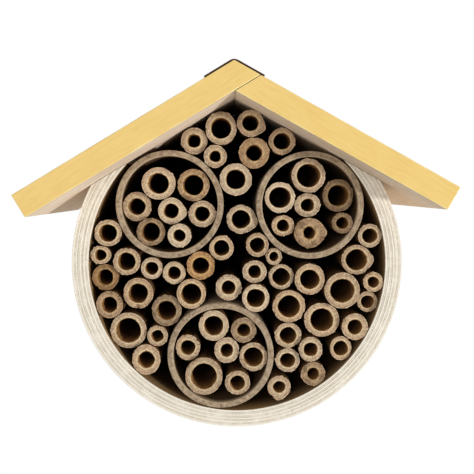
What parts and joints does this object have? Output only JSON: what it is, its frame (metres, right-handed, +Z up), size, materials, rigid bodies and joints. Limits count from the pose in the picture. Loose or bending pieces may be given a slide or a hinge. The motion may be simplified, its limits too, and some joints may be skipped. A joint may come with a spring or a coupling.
{
  "type": "insect hotel",
  "caption": "Round wall-hung insect hotel: a bent-plywood drum packed with hollow bamboo canes under a pitched wooden roof.",
  "frame": {"origin": "on the drum's axis, on the rear face of the back panel, where the hotel lies against its wall", "axes": "+Y out of the back into the wall, so the open front faces -Y; +Z up to the ridge; +X to the right seen from the front"},
  "size_m": [0.2252, 0.13, 0.1965],
  "materials": {
    "plywood": "raw birch plywood",
    "roof": "pastel yellow paint on the top and edges, bare wood underneath",
    "back_panel": "raw plywood sheet",
    "cane": "sawn dry bamboo",
    "large_tube": "weathered grey-brown bark fibre",
    "ridge_strip": "dark brown strip",
    "zinc": "zinc plated"
  },
  "bodies": {
    "root": {"back_panel": "back_panel", "barrel": "plywood", "cane_01": "cane", "cane_02": "cane", "cane_03": "cane", "cane_04": "cane", "cane_05": "cane", "cane_06": "cane", "cane_07": "cane", "cane_08": "cane", "cane_09": "cane", "cane_10": "cane", "cane_11": "cane", "cane_12": "cane", "cane_13": "cane", "cane_14": "cane", "cane_15": "cane", "cane_16": "cane", "cane_17": "cane", "cane_18": "cane", "cane_19": "cane", "cane_20": "cane", "cane_21": "cane", "cane_22": "cane", "cane_23": "cane", "cane_24": "cane", "cane_25": "cane", "cane_26": "cane", "cane_27": "cane", "cane_28": "cane", "cane_29": "cane", "cane_30": "cane", "cane_31": "cane", "cane_32": "cane", "cane_33": "cane", "cane_34": "cane", "cane_35": "cane", "cane_36": "cane", "cane_37": "cane", "cane_38": "cane", "cane_39": "cane", "cane_40": "cane", "cane_41": "cane", "cane_42": "cane", "cane_43": "cane", "cane_44": "cane", "cane_45": "cane", "cane_46": "cane", "cane_bundle_lower": "cane", "cane_bundle_upper_left": "cane", "cane_bundle_upper_right": "cane", "hanger_plate": "zinc", "hanger_screw_left": "zinc", "hanger_screw_right": "zinc", "ridge_strip": "ridge_strip", "roof_board_left": "roof", "roof_board_right": "roof", "tube_lower": "large_tube", "tube_upper_left": "large_tube", "tube_upper_right": "large_tube"}
  },
  "joints": []
}
